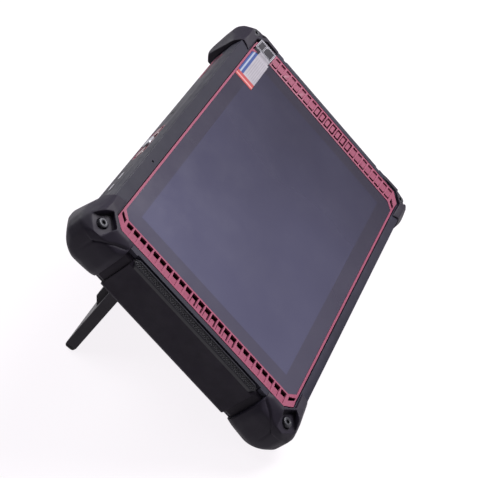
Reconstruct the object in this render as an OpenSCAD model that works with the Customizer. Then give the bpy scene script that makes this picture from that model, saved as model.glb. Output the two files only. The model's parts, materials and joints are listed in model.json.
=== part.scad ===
// Rugged tablet data collector standing on its long lower side, leaning back on an open rear kickstand.
// +X runs along the screen's width, -Y is the side the screen faces, +Z is up, and Z = 0 is the floor.
// Most sub-parts are drawn in the tablet's own axes: X along the screen, Y up the screen, Z out of the
// glass.

/* [Screen] */
// Width of the lit picture area
display_w = 217; // [200:0.5:225]
// Height of the lit picture area
display_h = 135.6; // [125:0.1:140]
// Width of the cover glass
glass_w = 241; // [236:0.5:243]
// Height of the cover glass
glass_h = 159.4; // [155:0.1:160]
// Thickness of the cover glass
glass_t = 1.1; // [0.7:0.1:1.6]
// How far the glass and its trim sit below the middle of the body
screen_drop = 1; // [0:0.1:1.5]

/* [Body] */
// Width of the case between its rubber side grips
case_w = 278; // [276:0.5:279]
// Width of the case at its corners, under the bumpers
corner_w = 284.8; // [284:0.1:286]
// Height of the case at its front fold lines
fold_h = 179.2; // [178:0.1:180]
// How far the long sides bulge past the front fold lines
side_bulge = 1.7; // [1:0.1:2]
// Height of the raised front rails above the glass
rail_z = 2; // [1:0.1:2.5]
// Height of the long front borders above the glass
border_z = 0.8; // [0.4:0.1:1.2]
// Depth of the flat back behind the glass
back_z = 33; // [32:0.5:35]
// Wall thickness of the shells
wall = 2; // [1.6:0.1:2.4]

/* [Corner bumpers] */
// Half width over the corner bumpers
bumper_x = 147.6; // [147:0.1:149]
// Half height over the corner bumpers
bumper_y = 97.8; // [97:0.1:98.5]
// Depth of the bumper backs behind the glass
bumper_back = 34.5; // [34:0.1:35]
// Height of the bumper fronts above the glass
bumper_front = 3.4; // [2.5:0.1:4]
// Distance of the bumper screws from the middle, along the width
screw_x = 138; // [137:0.1:139]
// Distance of the bumper screws from the middle, along the height
screw_y = 84.3; // [84:0.1:85]

/* [Trim] */
// Outer half width of the coloured trim frame
trim_x = 133.7; // [132:0.1:134]
// Width of the thin trim line round the glass
trim_line = 1.6; // [1.5:0.1:2.5]
// Pitch of the ribs along the grilles
rib_pitch = 5.93; // [5.5:0.01:6]
// Width of one rib
rib_w = 1.1; // [0.8:0.1:1.5]

/* [Kickstand] */
// Angle that the tablet leans back from upright
lean_back = 43; // [42:0.1:44]
// Angle of the kickstand away from the back when it stands on its stop
stand_open = 79; // [76:0.5:80]
// Width of the kickstand
stand_w = 160; // [150:1:160]
// Thickness of the kickstand
stand_t = 8.2; // [7:0.1:8.4]
// Height of the raised pad on the kickstand's outer face
stand_step = 5; // [3:0.5:5]
// Height of the hinge above the middle of the screen
hinge_y = 42; // [40:0.5:44]
// Radius of the hinge pins
pin_r = 1.5; // [1.2:0.1:1.8]

/* [Side controls] */
// Middle of the button row along the upper side
keys_x = -29; // [-34:1:-24]

/* [Hidden] */
$fn = 48;
eps = 0.01;
clear = 0.15;

// ---- colours ----
charcoal = [0.16, 0.16, 0.17];
rubber_black = [0.11, 0.11, 0.12];
rose = [0.62, 0.24, 0.32];
metal = [0.66, 0.67, 0.69];
dark = [0.15, 0.15, 0.16];

// ---- case ----
fold_y = fold_h / 2;
side_y = fold_y + side_bulge;
case_x = case_w / 2;
corner_x = corner_w / 2;
split_z = -0.6;                          // the front frame's flange rests here on the rear shell
line_h = 0.55;                           // height of the shadow line under the front frame
line_in = 0.2;                           // how far inside the fold the shadow line reaches
skirt_z = -8;                            // underside of the front frame's skirt
case_cut = 14;                           // cut corners of the case under the bumpers
seal_t = 1;
shelf_z = -12;                           // underside of the rear shell's shelf below the skirt

// ---- trim and screen ----
trim_top = glass_h / 2 - screen_drop + trim_line;
trim_bottom = -glass_h / 2 - screen_drop - trim_line;
trim_cut = 7;                            // cut corners of the trim frame
trim_base = -2.5;                        // underside of the trim frame
trim_rim_z = 0.35;                       // top of the thin line round the glass
trim_gap = 0.65;                         // dark joint line round the trim frame
mesh_t = 0.4;
seat_z = trim_base - mesh_t;             // floor of the recess under the trim frame
frame_rim = 1.2;                         // wall of the front frame round the trim frame
ledge_z = -4.3;                          // underside of the front frame's inner ledge
plate_z = ledge_z - 1.4;                 // underside of the middle plate
grille_in = glass_w / 2 + trim_line;     // inner edge of the grille slots
pad_in = grille_in + 3.2;                // inner edge of the pads between the ribs
pad_depth = 1.15;
rib_count = 26;
rib_top = 73.3;                          // first rib, from the middle of the screen
voice_first = 10;                        // cells with slots round a tongue
voice_last = 16;
speaker_y = -6.5;
speaker_x = 125.6;

// ---- kickstand ----
hinge_z = -29.5;
outer_face = 3.2;                        // kickstand's outer face from the hinge line
inner_face = stand_t - outer_face;
barrel_r = inner_face;
leg_len = 125;                           // hinge to the end of the foot
foot_len = 4;
foot_flat = 2.8;                         // where the foot's sole starts, from the hinge line
sole_tilt = stand_open - lean_back;
bracket_x = 64;                          // middle of each hinge bracket
bracket_w = 12;
notch_w = bracket_w + 1;
notch_len = 9.2;
pin_len = 28;
recess_gap = 0.4;
recess_z = hinge_z + inner_face + recess_gap;
recess_top = hinge_y + barrel_r + recess_gap;
recess_bottom = hinge_y - leg_len - 0.6;
recess_mid = (recess_top + recess_bottom) / 2;
recess_h = recess_top - recess_bottom;
recess_x = stand_w / 2 + 1.2;

// ---- standing on the floor: bumper soles and the foot's sole share the plane Z = 0 ----
floor_depth = leg_len * cos(sole_tilt) + foot_flat * sin(sole_tilt)
    - hinge_y * cos(lean_back) - hinge_z * sin(lean_back);
centre_shift = -31.38;                   // middle of the screen from the middle of the footprint
sole_z = (bumper_y * cos(lean_back) - floor_depth) / sin(lean_back);
sole_y = (floor_depth - bumper_back * sin(lean_back)) / cos(lean_back);

// ---- corner bumpers ----
bumper_seat_z = -5.6;
pocket_z = -2.6;                         // pocket floor under the outer corner
pocket_tilt = 9;
screw_top = -0.2;
seam_x = 110.6;
bumper_end = 62;                         // where a bumper stops along the short side

// ---- side grips ----
grip_half = 56;
grip_x = case_x + 3.8;

// ---- controls on the upper long side ----
control_z = -17.5;
key_gap = 13.4;
key_row_l = 44;
key_row_w = 14;
key_rest = -1.4;                         // underside of a key cap at rest
key_floor = -3.5;
port_x = -82;
port_w = 34;
port_h = 11.6;
plug_x = 92;
plug_z = -20.5;
plug_w = 36;
plug_h = 12;
jack_x = 13.4;
jack_z = -18;

// ---- back ----
camera_x = 60;
camera_y = 67;
shell_screw_spots = [for (x = [-125.5, 125.5], y = [-66, 34, 62]) [x, y]];
insert_spots = [for (x = [-104, 104], y = [-45, 45]) [x, y]];
board_spots = [for (x = [12, 112], y = [-53, 65]) [x, y]];
bracket_screw_y = hinge_y - 6;

// ---- placing ----

// Turns the tablet's own axes to the leaning pose on the floor
module lean() {
    translate([0, centre_shift, floor_depth]) rotate([90 - lean_back, 0, 0]) children();
}

// A right-side sub-part made again as a left-side one
module other_side() {
    mirror([1, 0, 0]) children();
}

module both_sides() {
    children();
    other_side() children();
}

// Children drawn flat, with their Z sticking out of the upper long side and their Y towards the back
module upper_side(x, z) {
    translate([x, side_y, z]) rotate([-90, 0, 0]) children();
}

// Children drawn as closed against the back, with the hinge line through their origin
module stand_pose() {
    lean() translate([0, hinge_y, hinge_z]) rotate([stand_open, 0, 0]) children();
}

// ---- shared shapes ----

module slab(z0, z1) {
    translate([0, 0, z0]) linear_extrude(z1 - z0) children();
}

// An outline in Y and Z, extruded along X over a length about the middle
module along_x(l) {
    rotate([90, 0, 90]) translate([0, 0, -l / 2]) linear_extrude(l) children();
}

// An outline in X and Z, extruded along Y over a length about the middle
module along_y(l) {
    rotate([90, 0, 0]) translate([0, 0, -l / 2]) linear_extrude(l) children();
}

// Rectangle about the origin with its four corners cut off
module cut_rect(w, h, c) {
    polygon([
        [-w / 2 + c, -h / 2], [w / 2 - c, -h / 2], [w / 2, -h / 2 + c], [w / 2, h / 2 - c],
        [w / 2 - c, h / 2], [-w / 2 + c, h / 2], [-w / 2, h / 2 - c], [-w / 2, -h / 2 + c]
    ]);
}

// Slot with round ends along X
module pill(l, w) {
    square([l - w, w], center = true);
    for (s = [-1, 1]) translate([s * (l - w) / 2, 0]) circle(d = w);
}

module at_spots(spots) {
    for (p = spots) translate([p[0], p[1], 0]) children();
}

// Outline of the trim frame, made larger all round by grow
module trim_outline(grow = 0) {
    translate([0, (trim_top + trim_bottom) / 2])
        cut_rect(2 * (trim_x + grow), trim_top - trim_bottom + 2 * grow, trim_cut + 0.6 * grow);
}

module glass_outline(grow = 0) {
    translate([0, -screen_drop]) cut_rect(glass_w + 2 * grow, glass_h + 2 * grow, 5.5);
}

module screen_opening() {
    translate([0, -screen_drop]) square([glass_w - 6, glass_h - 7.4], center = true);
}

// ---- case ----

// Outer skin of the whole case, without bumpers and with flats for the grips
module case_block() {
    difference() {
        intersection() {
            along_x(320) polygon([
                [-fold_y, border_z], [-side_y, -8], [-side_y, -27], [-fold_y + 0.6, -back_z],
                [fold_y - 0.6, -back_z], [side_y, -27], [side_y, -8], [fold_y, border_z],
                [80, border_z], [78, rail_z], [-78, rail_z], [-80, border_z]
            ]);
            slab(-40, 10) cut_rect(2 * corner_x, 2 * side_y, case_cut);
            along_y(220) polygon([
                [-corner_x, -30], [-corner_x + 3, -back_z], [corner_x - 3, -back_z], [corner_x, -30],
                [corner_x, -3], [case_x, rail_z], [-case_x, rail_z], [-corner_x, -3]
            ]);
        }
        for (s = [-1, 1]) slab(-40, 10) translate([s * (case_x + 10), 0])
            square([20, 2 * bumper_end - 0.2], center = true);
    }
}

// Plan of the corner under a bumper; edge is where its inner long edge lies
module bumper_plan(edge) {
    inner_x = trim_x + frame_rim + clear;
    polygon([
        [seam_x, edge], [seam_x + 2.2, edge + 3.4], [seam_x + 3.4, edge + 7.2], [seam_x + 3.4, 110],
        [170, 110],
        [170, bumper_end], [inner_x, bumper_end], [inner_x, edge - trim_cut - 0.6],
        [inner_x - trim_cut - 0.6, edge]
    ]);
}

upper_edge = trim_top + frame_rim + clear;
lower_edge = -trim_bottom + frame_rim + clear;

module bumper_seats() {
    both_sides() {
        slab(bumper_seat_z, 10) bumper_plan(upper_edge);
        mirror([0, 1, 0]) slab(bumper_seat_z, 10) bumper_plan(lower_edge);
    }
}

module four_screws() {
    for (x = [-1, 1], y = [-1, 1]) translate([x * screw_x, y * screw_y, 0]) children();
}

// Bevel along a short side that carries the knurled strip
module strip_seat() {
    along_y(2 * grip_half) polygon([
        [case_x - 1.2, 10], [case_x - 1.2, 0.6], [case_x - 0.2, -1], [case_x + 5, -1], [case_x + 5, 10]
    ]);
}

module front_frame() {
    color(charcoal) lean() difference() {
        union() {
            intersection() {
                case_block();
                slab(split_z, 10) square([320, 220], center = true);
            }
            slab(skirt_z, split_z) trim_outline(frame_rim);
        }
        bumper_seats();
        slab(seat_z, 10) trim_outline(trim_gap);
        slab(ledge_z - eps, 10) screen_opening();
        // room for the middle plate
        slab(skirt_z - eps, ledge_z) translate([0, -screen_drop]) cut_rect(239, 158, 4);
        // speaker pockets and the sound openings above them
        both_sides() {
            slab(skirt_z - eps, ledge_z) translate([speaker_x + 0.2, speaker_y])
                square([10.4, 40], center = true);
            slab(ledge_z - eps, 0) translate([speaker_x + 0.4, speaker_y]) square([6, 36], center = true);
        }
        translate([-63.8, 84.7, -2]) cylinder(r = 0.85, h = 4);
        at_spots(shell_screw_spots) translate([0, 0, skirt_z - eps]) cylinder(r = 1.3, h = 3.4);
        both_sides() strip_seat();
    }
}

// Blocks on the inside of the upper wall behind the controls
module control_blocks() {
    slab(-27, shelf_z) {
        translate([keys_x, 84]) square([48, 12], center = true);
        translate([port_x, 84]) square([36, 14], center = true);
        translate([plug_x, 82]) square([26, 16], center = true);
        translate([jack_x, 80]) square([12, 24], center = true);
    }
}

module rear_cavity() {
    slab(shelf_z - eps, skirt_z) cut_rect(2 * 130.5, 156, 6);
    difference() {
        slab(wall - back_z, shelf_z) square([2 * (case_x - 4), 172], center = true);
        slab(-back_z, recess_z + wall) translate([0, recess_mid])
            square([2 * (recess_x + wall), recess_h + 2 * wall], center = true);
        at_spots(insert_spots) translate([0, 0, -back_z]) cylinder(r = 5, h = 9);
        at_spots(shell_screw_spots) translate([0, 0, -back_z]) cylinder(r = 4, h = 22);
        control_blocks();
    }
}

module rear_shell() {
    color(charcoal) lean() difference() {
        intersection() {
            case_block();
            slab(-40, split_z) square([320, 220], center = true);
        }
        bumper_seats();
        // shadow line under the front frame along the long sides
        for (s = [-1, 1]) slab(split_z - line_h, 0) translate([0, s * (fold_y - line_in + 10)])
            square([240, 20], center = true);
        slab(skirt_z - 0.05, 10) trim_outline(frame_rim + clear);
        rear_cavity();
        slab(skirt_z - seal_t, 0) seal_plan();
        four_screws() translate([0, 0, -15]) cylinder(r = 1.5, h = 12);
        // recess for the kickstand and the finger notch below it
        slab(-back_z - 1, recess_z) translate([0, recess_mid])
            square([2 * recess_x, recess_h], center = true);
        slab(-back_z - 1, 4 - back_z) translate([0, recess_bottom - 2]) square([44, 12], center = true);
        for (s = [-1, 1]) translate([s * bracket_x, bracket_screw_y, recess_z - 1])
            cylinder(r = 1, h = 2.8);
        // back: inserts, case screws and camera
        at_spots(insert_spots) translate([0, 0, -back_z - 1]) cylinder(r = 3.2, h = 8);
        at_spots(shell_screw_spots) translate([0, 0, -back_z - 1]) {
            cylinder(r = 2.8, h = 3.2);
            cylinder(r = 1.3, h = 30);
        }
        slab(-back_z - 1, 1 - back_z) translate([camera_x, camera_y]) cut_rect(46.2, 20.2, 4);
        translate([camera_x - 10, camera_y, -back_z - 1]) cylinder(r = 6.2, h = 9);
        translate([camera_x + 12, camera_y, -back_z - 1]) cylinder(r = 3.2, h = 9);
        translate([-63.8, 84.7, -6]) cylinder(r = 1.25, h = 8);
        key_pocket();
        port_pocket();
        plug_pocket();
        upper_side(jack_x, jack_z) translate([0, 0, -17]) cylinder(r = 3.2, h = 20);
    }
}

module seal_plan() {
    difference() {
        trim_outline(0.6);
        trim_outline(-0.6);
    }
}

module shell_seal() {
    color(rose) lean() slab(skirt_z - seal_t, skirt_z) seal_plan();
}

module shell_screws() {
    color(metal) lean() at_spots(shell_screw_spots) translate([0, 0, 0.4 - back_z]) {
        difference() {
            cylinder(r = 2.6, h = 1.8);
            translate([0, 0, -eps]) cylinder(r = 1.2, h = 1, $fn = 6);
        }
        translate([0, 0, 1.8]) cylinder(r = 1.25, h = 26);
    }
}

module mount_inserts() {
    color("goldenrod") lean() at_spots(insert_spots) translate([0, 0, -back_z]) difference() {
        cylinder(r = 3.18, h = 7);
        translate([0, 0, -eps]) cylinder(r = 1.65, h = 6);
    }
}

// ---- trim frame with its grilles, drawn for the right side ----

module cell(i) {
    translate([0, rib_top - (i + 0.5) * rib_pitch]) children();
}

slot_h = rib_pitch - rib_w;
pad_w = trim_x - 1.3 - pad_in;

module grille_slots() {
    for (i = [0:rib_count - 2]) cell(i) translate([(grille_in + pad_in) / 2, 0])
        square([pad_in - grille_in, slot_h], center = true);
    // slots above and below each tongue
    for (i = [voice_first:voice_last], s = [-1, 1]) cell(i)
        translate([pad_in + pad_w / 2 - 0.5, s * (slot_h / 2 - 0.45)]) square([pad_w, 0.9], center = true);
    // slanted slots in the corners
    for (s = [-1, 1]) translate([0, (trim_top + trim_bottom) / 2]) scale([1, s]) polygon([
        [grille_in, 75.6], [grille_in + 4.2, 75.6], [grille_in - 1.2, 80.4], [grille_in - 4, 80.4]
    ]);
}

// Shallow pads between the ribs
module grille_pads() {
    for (i = [0:rib_count - 2]) cell(i) translate([pad_in + pad_w / 2 - 0.3, 0])
        square([pad_w + 0.6, slot_h - 0.5], center = true);
}

module trim_half() {
    along_y(180) polygon([
        [0, trim_base], [trim_x, trim_base], [trim_x, rail_z], [grille_in, 0.6], [glass_w / 2, trim_rim_z],
        [0, trim_rim_z]
    ]);
}

module trim_frame() {
    color(rose) lean() difference() {
        intersection() {
            slab(trim_base, 4) trim_outline();
            both_sides() trim_half();
        }
        slab(-glass_t - 0.05, 4) glass_outline(0.05);
        slab(trim_base - 1, 4) screen_opening();
        both_sides() {
            slab(trim_base - 1, 5) grille_slots();
            // pads cut down parallel to the sloping face
            translate([grille_in, 0, 0.6]) rotate([0, -7.4, 0]) translate([-grille_in, 0, -pad_depth])
                slab(0, 5) grille_pads();
        }
    }
}

module grille_mesh() {
    slab(seat_z, trim_base) translate([126.4, -screen_drop]) square([12.4, 148], center = true);
}

module grille_mesh_right() {
    color([0.08, 0.03, 0.04]) lean() grille_mesh();
}

module grille_mesh_left() {
    color([0.08, 0.03, 0.04]) lean() other_side() grille_mesh();
}

// ---- screen and inner parts ----

module cover_glass() {
    color([0.3, 0.31, 0.38]) lean() slab(-glass_t, 0) glass_outline();
}

module display_panel() {
    color([0.2, 0.21, 0.27]) lean() slab(ledge_z + 0.1, -glass_t)
        square([display_w + 12, display_h + 11], center = true);
}

module mid_plate() {
    color(metal) lean() slab(plate_z, ledge_z) difference() {
        translate([0, -screen_drop]) cut_rect(238.6, 157.6, 4);
        // opening for the display cable
        translate([60, -72]) square([30, 6], center = true);
    }
}

module main_board() {
    color([0.08, 0.3, 0.18]) lean() difference() {
        slab(plate_z - 3.7, plate_z - 2.3) translate([62, 6]) cut_rect(110, 128, 3);
        at_spots(board_spots) translate([0, 0, plate_z - 5]) cylinder(r = 1.4, h = 4);
    }
}

module board_spacers() {
    color("goldenrod") lean() at_spots(board_spots) translate([0, 0, plate_z - 2.3])
        cylinder(r = 2.4, h = 2.3);
}

module processor_shield() {
    color(metal) lean() slab(plate_z - 6.7, plate_z - 3.7) translate([62, 20]) cut_rect(52, 44, 3);
}

module battery_pack() {
    color([0.12, 0.13, 0.16]) lean() slab(-17.8, plate_z) translate([-62, -2])
        square([110, 136], center = true);
}

module battery_strap() {
    color([0.5, 0.5, 0.52]) lean() difference() {
        slab(-18.6, plate_z) translate([-62, -2]) square([112.6, 26], center = true);
        slab(-17.8, 0) translate([-62, -2]) square([110, 30], center = true);
    }
}

module speaker_body() {
    difference() {
        slab(-13, ledge_z - 0.05) translate([speaker_x, speaker_y]) square([9, 38], center = true);
        slab(ledge_z - 1, 0) translate([speaker_x, speaker_y]) square([5, 32], center = true);
    }
}

module speaker_right() {
    color(dark) lean() speaker_body();
}

module speaker_left() {
    color(dark) lean() other_side() speaker_body();
}

module microphone_boot() {
    color(dark) lean() translate([-63.8, 84.7, -6]) difference() {
        cylinder(r = 1.2, h = 5.4);
        translate([0, 0, 0.8]) cylinder(r = 0.6, h = 5);
    }
}

// ---- corner bumpers, drawn for the upper right corner ----

module bumper_skin() {
    hull() {
        // raised rim round the screw pocket
        slab(bumper_front - 0.4, bumper_front)
            polygon([[135.4, 66], [137.6, 66], [138.2, 76], [131.5, 88.8], [123, 88.4], [127, 83]]);
        slab(1.9, 2.1) polygon([[131, 60], [139.6, 60], [140.4, 77], [133, 90], [120, 89.4], [117, 88]]);
        slab(0.8, 1) polygon([[106, 80], [106, 89.4], [114, 89.8], [122, 90.6], [131.6, 91.6],
            [138.6, 87.4], [141.4, 82], [141.4, 60]]);
        slab(-3.4, -2.9) polygon([
            [106, 80], [106, 91.2], [114, 91.5], [122, 92.6], [129, 94.2], [137.2, 93.6], [146.6, 85],
            [146.6, 66], [145.2, 63.4],
            [143.4, 60]
        ]);
        slab(-21, -9) polygon([
            [106, 80], [106, 91.4], [114, 91.8], [121.5, 93.8], [128.5, bumper_y - 0.4],
            [136, bumper_y - 0.4], [142.4, 95],
            [146.4, 90], [bumper_x, 83], [bumper_x, 66], [bumper_x - 1.4, 63.4], [144, 60]
        ]);
        slab(-27.2, -27) polygon([
            [106, 80], [106, 91.2], [114, 92.2], [118.5, 94.4], [123.5, bumper_y], [130, bumper_y - 0.7],
            [137, 94.2], [143, 90.8],
            [146.6, 85.8], [147.2, 80], [146.6, 66], [145.4, 63.4], [143, 60]
        ]);
        slab(sole_z, sole_z + eps) polygon([
            [106, 80], [106, 90.6], [113, 91], [117, bumper_y], [124, bumper_y], [131, 94.4], [137, 91.2],
            [142.6, 87.6],
            [145.6, 82.6], [144.8, 66], [143.8, 63.4], [141.8, 60]
        ]);
        slab(-bumper_back, -bumper_back + eps) polygon([
            [106, 80], [106, 88.6], [114, 89.6], [117, sole_y], [124, sole_y], [129, 91], [135, 87.8],
            [139.8, 84.2],
            [142.2, 79.4], [140.6, 66], [139.8, 63.4], [138, 60]
        ]);
    }
}

// Four-sided pocket round the screw head, open at the outer corner and deeper at its inner side
module screw_pocket() {
    translate([139, 88, pocket_z]) rotate([-pocket_tilt, pocket_tilt, 0]) translate([-139, -88, 0])
        slab(0, 12) polygon([[127.8, 83.8], [136.6, 75.6], [152, 83.2], [141, 97]]);
}

module corner_bumper(edge) {
    difference() {
        intersection() {
            bumper_skin();
            slab(-40, 10) bumper_plan(edge);
        }
        intersection() {
            case_block();
            slab(-40, bumper_seat_z) square([320, 220], center = true);
        }
        screw_pocket();
        translate([screw_x, screw_y, -20]) cylinder(r = 1.6, h = 30);
        translate([screw_x, screw_y, screw_top - 3.6]) cylinder(r = 3.6, h = 10);
    }
}

module bumper_upper_right() {
    color(rubber_black) lean() corner_bumper(upper_edge);
}

module bumper_upper_left() {
    color(rubber_black) lean() other_side() corner_bumper(upper_edge);
}

module bumper_lower_right() {
    color(rubber_black) lean() mirror([0, 1, 0]) corner_bumper(lower_edge);
}

module bumper_lower_left() {
    color(rubber_black) lean() other_side() mirror([0, 1, 0]) corner_bumper(lower_edge);
}

module bumper_screws() {
    color([0.4, 0.4, 0.42]) lean() four_screws() translate([0, 0, screw_top - 3.6]) {
        difference() {
            cylinder(r = 3.4, h = 3.6);
            translate([0, 0, 1.6]) cylinder(r = 1.4, h = 5, $fn = 6);
        }
        translate([0, 0, -11]) cylinder(r = 1.45, h = 11);
    }
}

// ---- side grips, drawn for the right side ----

module grip() {
    along_y(2 * grip_half) polygon([
        [case_x, -1.2], [case_x + 1.2, -1.2], [grip_x, -3.8], [grip_x, -30.4], [grip_x - 0.8, -32.3],
        [grip_x - 2.6, -back_z],
        [case_x, -back_z]
    ]);
    // thin webs that run on to the bumpers
    for (s = [-1, 1]) translate([0, s * (grip_half + bumper_end - 0.2) / 2, 0])
        along_y(bumper_end - grip_half - 0.2)
        polygon([[case_x, -1], [case_x + 2.2, -2.5], [case_x + 2.2, -29], [case_x, -32]]);
}

module knurl_strip() {
    difference() {
        along_y(2 * grip_half - 2) polygon([
            [case_x - 1.2, 0.6], [case_x + 0.9, 1.4], [grip_x, -1.6], [grip_x, -3.8], [case_x + 1.2, -1.2],
            [case_x + 0.02, -1.1], [case_x + 0.02, -0.55], [case_x - 0.4, -0.55]
        ]);
        for (s = [-1, 1]) translate([grip_x + 0.4, s * grip_half, 0]) rotate([0, 0, 45])
            cube([6, 6, 12], center = true);
        for (i = [-35:35]) translate([case_x + 2.6, i * 1.5, 0.2]) rotate([0, 48, 0])
            cube([3, 0.6, 0.8], center = true);
    }
}

module grip_right() {
    color(rubber_black) lean() grip();
}

module grip_left() {
    color(rubber_black) lean() other_side() grip();
}

module knurl_strip_right() {
    color([0.2, 0.2, 0.21]) lean() knurl_strip();
}

module knurl_strip_left() {
    color([0.2, 0.2, 0.21]) lean() other_side() knurl_strip();
}

// ---- keys on the upper long side ----

module key_pocket() {
    upper_side(keys_x, control_z) {
        slab(key_floor, 1) pill(key_row_l + 0.3, key_row_w + 0.3);
        slab(-9.5, 1) pill(key_row_l - 6, 5);
    }
}

module key_surround() {
    color(rose) lean() upper_side(keys_x, control_z) difference() {
        slab(key_floor, -0.1) pill(key_row_l, key_row_w);
        slab(key_floor + 0.8, 1) pill(key_row_l - 3, key_row_w - 3);
        for (i = [-1:1]) slab(-5, 0) translate([i * key_gap, 0]) pill(8.6, 3.6);
    }
}

module key_cap(i, top) {
    upper_side(keys_x + i * key_gap, control_z) {
        slab(key_rest, top) pill(12, 7);
        slab(key_rest - 4, key_rest) pill(8, 3);
    }
}

module power_key() {
    color([0.75, 0.75, 0.78]) lean() key_cap(0, 0.8);
}

module lower_key() {
    color([0.35, 0.1, 0.14]) lean() key_cap(-1, 0);
}

module raise_key() {
    color([0.35, 0.1, 0.14]) lean() key_cap(1, 0);
}

module key_board() {
    color([0.1, 0.25, 0.2]) lean() upper_side(keys_x, control_z) slab(-9.5, -8.5)
        square([32, 4.6], center = true);
}

// ---- covered ports ----

module port_pocket() {
    upper_side(port_x, control_z) {
        slab(-3, 1) square([port_w + 0.8, port_h + 1], center = true);
        slab(-10, 1) square([port_w - 6, 7], center = true);
    }
}

module port_cover() {
    color(rubber_black) lean() upper_side(port_x, control_z) difference() {
        union() {
            slab(-2.7, 0) square([port_w, port_h], center = true);
            slab(-3.5, -2.7) square([port_w - 7, 5.6], center = true);
        }
        for (s = [-1, 1]) translate([s * 7.5, 0]) slab(-0.4, 1) pill(8, 2.4);
    }
}

module cover_marks() {
    color("white") lean() upper_side(port_x, control_z) for (s = [-1, 1]) translate([s * 7.5, 0])
        slab(-0.4, 0) pill(7.9, 2.3);
}

module port_block() {
    color(metal) lean() upper_side(port_x, control_z) difference() {
        slab(-10, -4) square([port_w - 6.4, 6.6], center = true);
        for (x = [-8, 7]) translate([x, 0]) slab(-8.5, 0) pill(9, 3.2);
    }
}

module plug_pocket() {
    upper_side(plug_x, plug_z) {
        slab(-3, 1) pill(plug_w + 0.3, plug_h + 0.3);
        slab(-9, 1) pill(13, 5.4);
    }
}

module plug_surround() {
    color(rose) lean() upper_side(plug_x, plug_z) difference() {
        slab(-3, -0.1) pill(plug_w, plug_h);
        slab(-4, 1) pill(plug_w - 3, plug_h - 3);
    }
}

module plug_cover() {
    color(rubber_black) lean() upper_side(plug_x, plug_z) slab(-2.4, -0.4) pill(plug_w - 4, plug_h - 4);
}

module charge_port() {
    color(metal) lean() upper_side(plug_x, plug_z) difference() {
        slab(-9, -3) pill(12.8, 5.2);
        slab(-8, 0) pill(9.2, 3.2);
    }
}

module headset_socket() {
    color(dark) lean() upper_side(jack_x, jack_z) translate([0, 0, -17]) difference() {
        cylinder(r = 3.15, h = 16.8);
        translate([0, 0, 1]) cylinder(r = 1.8, h = 17);
    }
}

// ---- camera on the back ----

module camera_surround() {
    color(charcoal) lean() difference() {
        slab(-back_z - 1, 1 - back_z) translate([camera_x, camera_y]) cut_rect(46, 20, 4);
        translate([camera_x - 10, camera_y, -back_z - 2]) cylinder(r = 6.2, h = 5);
        translate([camera_x + 12, camera_y, -back_z - 2]) cylinder(r = 3.2, h = 5);
    }
}

module camera_window() {
    color([0.1, 0.1, 0.14]) lean() translate([camera_x - 10, camera_y, -back_z - 0.6])
        cylinder(r = 6.1, h = 1);
}

module camera_module() {
    color(dark) lean() translate([camera_x - 10, camera_y, 0.4 - back_z]) cylinder(r = 6, h = 7);
}

module flash_window() {
    color([0.95, 0.93, 0.8]) lean() translate([camera_x + 12, camera_y, -back_z - 0.6])
        cylinder(r = 3.1, h = 2.6);
}

// ---- kickstand ----

module stand_leg() {
    leg_end = leg_len - foot_len;
    color(rubber_black) stand_pose() difference() {
        union() {
            intersection() {
                translate([-stand_w / 2, 0, 0]) rotate([0, 90, 0]) cylinder(r = barrel_r, h = stand_w);
                slab(-outer_face, 20) square([stand_w, 20], center = true);
            }
            slab(-outer_face, inner_face) translate([0, -leg_end / 2])
                square([stand_w, leg_end], center = true);
            // raised pad on the outer face
            along_x(144) polygon([
                [-10, -outer_face], [-13, -outer_face - stand_step], [-76, -outer_face - stand_step],
                [-84, -outer_face]
            ]);
        }
        for (s = [-1, 1]) translate([s * bracket_x - notch_w / 2, -notch_len, -10]) cube([notch_w, 20, 20]);
        for (s = [-1, 1]) translate([s * bracket_x - pin_len / 2 - 0.2, 0, 0]) rotate([0, 90, 0])
            cylinder(r = pin_r + 0.05, h = pin_len + 0.4);
        // hollow inner face with a cross rib
        for (y = [-38, -91.5]) slab(inner_face - 5.4, 20) translate([0, y]) cut_rect(stand_w - 11, 50, 4);
    }
}

module stand_foot() {
    sole_run = (inner_face - foot_flat) * tan(sole_tilt);
    color([0.07, 0.07, 0.07]) stand_pose() along_x(stand_w) polygon([
        [foot_len - leg_len, -outer_face], [foot_len - leg_len, inner_face],
        [sole_run - leg_len, inner_face],
        [-leg_len, foot_flat], [-leg_len, 0.8 - outer_face], [0.8 - leg_len, -outer_face]
    ]);
}

module hinge_brackets() {
    flange_z = recess_z - 1.5;
    color(metal) lean() for (s = [-1, 1]) translate([s * bracket_x - bracket_w / 2, 0, 0]) difference() {
        union() {
            translate([0, hinge_y, hinge_z]) rotate([0, 90, 0]) cylinder(r = 3.4, h = bracket_w);
            translate([0, hinge_y - 3.4, hinge_z]) cube([bracket_w, 6.8, recess_z - hinge_z]);
            translate([0, hinge_y - 8.4, flange_z]) cube([bracket_w, 13.2, 1.5]);
        }
        translate([-1, hinge_y, hinge_z]) rotate([0, 90, 0]) cylinder(r = pin_r, h = bracket_w + 2);
        translate([bracket_w / 2, bracket_screw_y, flange_z - 1]) cylinder(r = 1.05, h = 5);
    }
}

module bracket_screws() {
    color(metal) lean() for (s = [-1, 1]) translate([s * bracket_x, bracket_screw_y, recess_z - 1.5]) {
        translate([0, 0, -1.1]) cylinder(r = 1.8, h = 1.1);
        cylinder(r = 0.95, h = 3.2);
    }
}

module hinge_pins() {
    color([0.75, 0.75, 0.76]) lean() for (s = [-1, 1])
        translate([s * bracket_x - pin_len / 2, hinge_y, hinge_z]) rotate([0, 90, 0])
            cylinder(r = pin_r, h = pin_len);
}

// ---- film on the glass ----

module film_label() {
    color("white") lean() slab(0, 0.15)
        polygon([[79.1, 61.5], [118.1, 61.5], [118.1, 75.4], [115, 78.5], [79.1, 78.5]]);
}

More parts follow.
